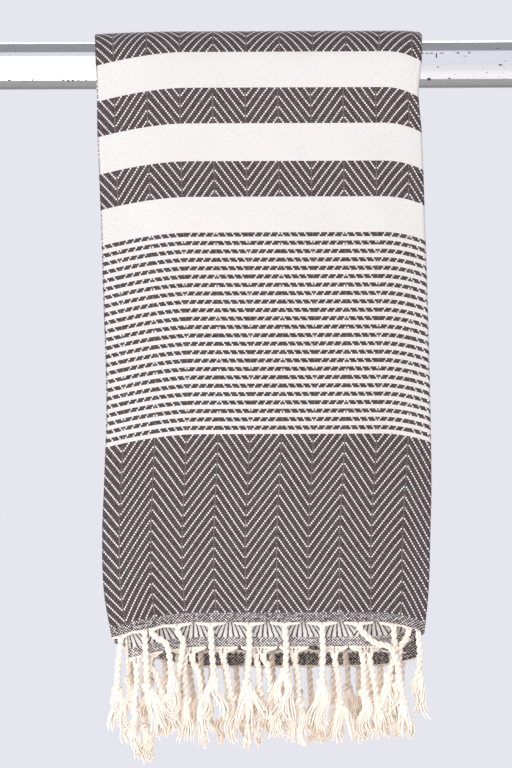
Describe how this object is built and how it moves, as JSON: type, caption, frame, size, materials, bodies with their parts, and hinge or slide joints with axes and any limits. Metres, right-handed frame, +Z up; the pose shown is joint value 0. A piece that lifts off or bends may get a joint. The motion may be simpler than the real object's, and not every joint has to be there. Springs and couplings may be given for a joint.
{
  "type": "hammam towel over a tube rail",
  "caption": "Striped herringbone hammam towel with a knotted fringe along both ends, folded lengthwise and hung over a plain round steel rail.",
  "frame": {"origin": "on the rail's axis, at the middle of the towel's width", "axes": "+X along the rail towards the towel's fold, +Y to the back, +Z up"},
  "size_m": [0.6, 0.0632, 0.5711],
  "materials": {
    "rail_steel": "bright drawn steel tube with fine scratches and small dark pits",
    "woven_cloth": "cotton double weave in charcoal and cream: herringbone, wide cream bands and narrow dashed stripes",
    "fringe_yarn": "undyed cream cotton yarn, plied into cords with knots and loose tufts"
  },
  "bodies": {
    "root": {"rail": "rail_steel", "towel": "woven_cloth", "front_fringe": "fringe_yarn", "back_fringe": "fringe_yarn"}
  },
  "joints": []
}
